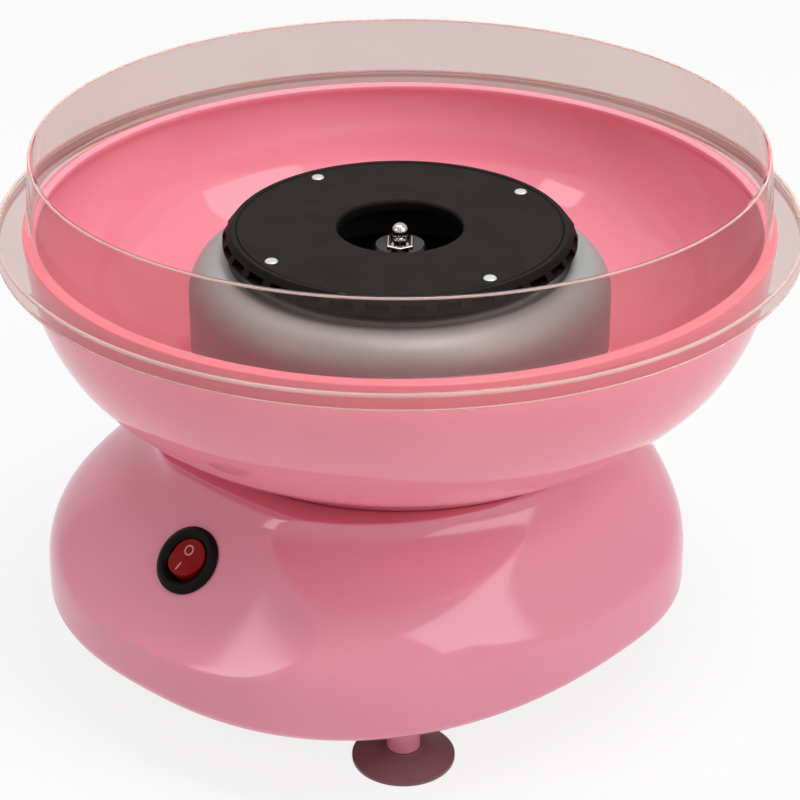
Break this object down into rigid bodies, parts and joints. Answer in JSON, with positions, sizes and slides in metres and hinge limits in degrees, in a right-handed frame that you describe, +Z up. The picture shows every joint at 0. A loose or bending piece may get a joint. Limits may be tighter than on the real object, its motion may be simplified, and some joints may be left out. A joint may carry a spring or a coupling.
{
  "type": "cotton candy machine",
  "caption": "Tabletop electric cotton candy machine: rounded base on suction feet, open bowl with clear splash guard, metal heater cover and a spinner head on a motor spindle.",
  "frame": {"origin": "on the spindle axis, at the level of the suction feet, which is the bottom centre of the bounding box", "axes": "+Z up along the spindle, -Y towards the switch, +X to the right of someone who faces the switch"},
  "size_m": [0.27, 0.27, 0.1806],
  "materials": {
    "base_pink": "gloss moulded",
    "bowl_pink": "gloss moulded",
    "clear_plastic": "clear moulded",
    "suction_rubber": "soft satin",
    "black_plastic": "satin moulded",
    "rocker_red": "gloss moulded",
    "cover_metal": "polished spun",
    "head_black": "satin black coat",
    "polished_steel": "polished",
    "zinc_steel": "zinc plated",
    "element_steel": "heat darkened",
    "brass": "plain",
    "ceramic": "unglazed",
    "ferrite": "sintered, dark",
    "board_green": "resist coated"
  },
  "bodies": {
    "base": {"base_shell": "base_pink", "bottom_plate": "base_pink", "suction_foot_front_left": "suction_rubber", "suction_foot_front_right": "suction_rubber", "suction_foot_rear_right": "suction_rubber", "suction_foot_rear_left": "suction_rubber", "bottom_screws": "zinc_steel", "switch_body": "black_plastic", "switch_terminals": "brass", "heater_cover": "cover_metal", "heater_lip_ring": "cover_metal", "heater_dish": "cover_metal", "heater_posts": "ceramic", "heating_element": "element_steel", "heater_bushes": "ceramic", "thermal_cutoff": "ceramic", "motor_can": "zinc_steel", "upper_bearing": "brass", "lower_bearing": "brass", "motor_end_cap": "black_plastic", "motor_magnets": "ferrite", "motor_brushes": "ferrite", "motor_bracket": "zinc_steel", "motor_screws": "zinc_steel", "motor_grommets": "suction_rubber", "mount_screws": "zinc_steel", "cord_gland": "black_plastic", "rectifier_board": "board_green", "board_standoffs": "black_plastic", "board_diodes": "black_plastic", "board_capacitor": "ferrite"},
    "rocker": {"rocker": "rocker_red"},
    "bowl": {"bowl": "bowl_pink"},
    "guard": {"splash_guard": "clear_plastic"},
    "spindle": {"motor_shaft": "polished_steel", "drive_pin": "zinc_steel", "cooling_fan": "black_plastic", "rotor_core": "zinc_steel", "commutator": "brass"},
    "head": {"head_top_plate": "head_black", "head_vent_ring": "head_black", "head_pan": "head_black", "head_rivets": "zinc_steel", "head_hub": "polished_steel", "hub_nut": "zinc_steel", "hub_clip": "polished_steel"}
  },
  "joints": [
    {"name": "rocker_tilt", "type": "hinge", "parent": "base", "child": "rocker", "pos_m": [0, -0.1033, 0.0643], "axis": [1, 0, 0], "range_deg": [0, 18]},
    {"name": "bowl_lift", "type": "slide", "parent": "base", "child": "bowl", "axis": [0, 0, 1], "range_m": [0, 0.1]},
    {"name": "guard_lift", "type": "slide", "parent": "bowl", "child": "guard", "axis": [0, 0, 1], "range_m": [0, 0.05]},
    {"name": "spindle_spin", "type": "hinge", "parent": "base", "child": "spindle", "pos_m": [0, 0, 0.08], "axis": [0, 0, 1], "continuous": true},
    {"name": "head_lift", "type": "slide", "parent": "spindle", "child": "head", "axis": [0, 0, 1], "range_m": [0, 0.06]}
  ]
}
